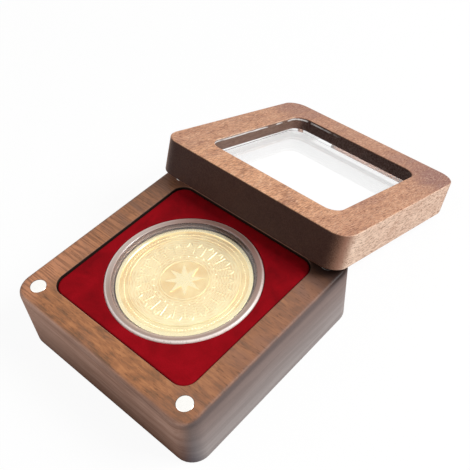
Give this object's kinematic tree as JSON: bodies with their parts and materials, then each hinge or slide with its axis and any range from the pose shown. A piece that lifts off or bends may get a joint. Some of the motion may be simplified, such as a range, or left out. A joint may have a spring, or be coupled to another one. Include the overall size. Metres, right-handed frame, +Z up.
{
  "type": "coin display case",
  "caption": "Square walnut display case for a round coin in a clear capsule, with a red velvet insert and a windowed lid that leans on its rear edge.",
  "frame": {"origin": "middle of the case's underside, on the surface it stands on", "axes": "+Z up; +Y to the rear, towards the leaning lid; +X along the rear edge, to the right seen from the front"},
  "size_m": [0.07, 0.1286, 0.0363],
  "materials": {
    "case_walnut": "oiled walnut, satin, grain along the front edge",
    "lid_walnut": "oiled walnut, satin, open pores, pale end grain",
    "insert_board": "pressed fibre board, matt, hidden under the velvet",
    "velvet": "short-pile crimson velvet",
    "magnet_nickel": "nickel plate, bright",
    "capsule_acrylic": "clear moulded acrylic, polished",
    "pane_acrylic": "clear acrylic block, polished",
    "coin_gold": "gold plate, bright raised design on a satin field"
  },
  "bodies": {
    "case": {"case_body": "case_walnut", "insert_board": "insert_board", "velvet_cover": "velvet", "velvet_floor": "velvet", "case_magnet_front_left": "magnet_nickel", "case_magnet_front_right": "magnet_nickel", "case_magnet_rear_left": "magnet_nickel", "case_magnet_rear_right": "magnet_nickel"},
    "capsule": {"capsule_lower": "capsule_acrylic"},
    "capsule_top": {"capsule_upper": "capsule_acrylic"},
    "coin": {"coin": "coin_gold"},
    "lid_pivot": {"lid_magnet_pivot": "magnet_nickel"},
    "lid": {"lid_frame": "lid_walnut", "window_pane": "pane_acrylic", "lid_magnet_near_right": "magnet_nickel", "lid_magnet_far_left": "magnet_nickel", "lid_magnet_far_right": "magnet_nickel"}
  },
  "joints": [
    {"name": "lid_tilt", "type": "hinge", "parent": "case", "child": "lid_pivot", "pos_m": [0, 0.03356, 0.02192], "axis": [-1, 0, 0], "range_deg": [-21.52, 0]},
    {"name": "lid_swivel", "type": "hinge", "parent": "lid_pivot", "child": "lid", "pos_m": [-0.0293, 0.0296, 0.02348], "axis": [0, 0.3669, 0.9303], "range_deg": [-90, 0]},
    {"name": "capsule_lift", "type": "slide", "parent": "case", "child": "capsule", "axis": [0, 0, 1], "range_m": [0, 0.04]},
    {"name": "capsule_open", "type": "slide", "parent": "capsule", "child": "capsule_top", "axis": [0, 0, 1], "range_m": [0, 0.03]},
    {"name": "coin_turn", "type": "hinge", "parent": "capsule", "child": "coin", "pos_m": [0, 0, 0.018], "axis": [0, 0, 1], "continuous": true}
  ]
}
